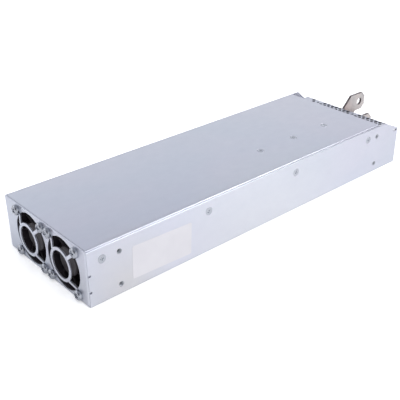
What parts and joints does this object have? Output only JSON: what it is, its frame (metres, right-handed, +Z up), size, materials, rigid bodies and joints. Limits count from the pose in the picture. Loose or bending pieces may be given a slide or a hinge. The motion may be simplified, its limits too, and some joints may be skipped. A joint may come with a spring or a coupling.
{
  "type": "switching power supply",
  "caption": "Low sheet-metal power supply with finger-guarded fans in front, perforated rear panel and rear bus bars.",
  "frame": {"origin": "middle of the case's underside", "axes": "+X across to the side with the label, +Y from the fans to the bus bars, +Z up"},
  "size_m": [0.1017, 0.3548, 0.0422],
  "materials": {
    "zinc_sheet": "zinc-plated sheet, faint mottle",
    "clinch_steel": "plated, turned",
    "screw_steel": "zinc-plated, cross recess",
    "tinned_copper": "tin-plated copper, sheared edges darker",
    "fan_plastic": "glass-filled black plastic",
    "impeller_plastic": "black plastic, slight sheen",
    "shaft_steel": "ground steel",
    "bearing_bronze": "sintered bronze",
    "stator_steel": "laminated steel",
    "board_laminate": "green solder mask",
    "insulation_film": "milky film",
    "capacitor_sleeve": "dark shrink sleeve",
    "winding_copper": "enamelled copper",
    "ferrite": "dark ground ferrite",
    "sink_aluminium": "extruded, plain",
    "epoxy": "moulded black epoxy",
    "film_capacitor_case": "yellow case",
    "fuse_ceramic": "white ceramic",
    "terminal_plastic": "black moulding",
    "label_film": "pale bare sticker"
  },
  "bodies": {
    "case": {"chassis": "zinc_sheet", "top_cover": "zinc_sheet", "fan_panel": "zinc_sheet", "rear_panel": "zinc_sheet", "rear_clinch_nuts": "clinch_steel", "mount_clinch_nuts": "clinch_steel", "board_standoffs": "clinch_steel", "fan_screws": "screw_steel", "left_side_screws": "screw_steel", "right_side_screws": "screw_steel", "cover_screws": "screw_steel", "fan_panel_screws": "screw_steel", "board_screws": "screw_steel", "terminal_screws": "screw_steel", "upper_bus_bar": "tinned_copper", "lower_bus_bar": "tinned_copper", "fan_1_frame": "fan_plastic", "fan_2_frame": "fan_plastic", "fan_1_bearing": "bearing_bronze", "fan_2_bearing": "bearing_bronze", "fan_1_stator": "stator_steel", "fan_2_stator": "stator_steel", "circuit_board": "board_laminate", "control_card": "board_laminate", "insulation_sheet": "insulation_film", "bulk_capacitors": "capacitor_sleeve", "output_capacitors": "capacitor_sleeve", "boost_choke": "winding_copper", "line_choke": "winding_copper", "output_chokes": "winding_copper", "transformer_winding": "winding_copper", "resonant_winding": "winding_copper", "transformer_core": "ferrite", "resonant_core": "ferrite", "main_heat_sink": "sink_aluminium", "output_heat_sink": "sink_aluminium", "power_transistors": "epoxy", "bridge_rectifier": "epoxy", "film_capacitor": "film_capacitor_case", "input_fuse": "fuse_ceramic", "terminal_block": "terminal_plastic", "signal_connector": "terminal_plastic", "bus_bar_insulator": "terminal_plastic", "side_label": "label_film"},
    "fan_1_rotor": {"fan_1_impeller": "impeller_plastic", "fan_1_shaft": "shaft_steel"},
    "fan_2_rotor": {"fan_2_impeller": "impeller_plastic", "fan_2_shaft": "shaft_steel"}
  },
  "joints": [
    {"name": "fan_1_spin", "type": "hinge", "parent": "case", "child": "fan_1_rotor", "pos_m": [-0.0179, -0.1455, 0.0211], "axis": [0, 1, 0], "continuous": true},
    {"name": "fan_2_spin", "type": "hinge", "parent": "case", "child": "fan_2_rotor", "pos_m": [0.0229, -0.1455, 0.0211], "axis": [0, 1, 0], "continuous": true}
  ]
}
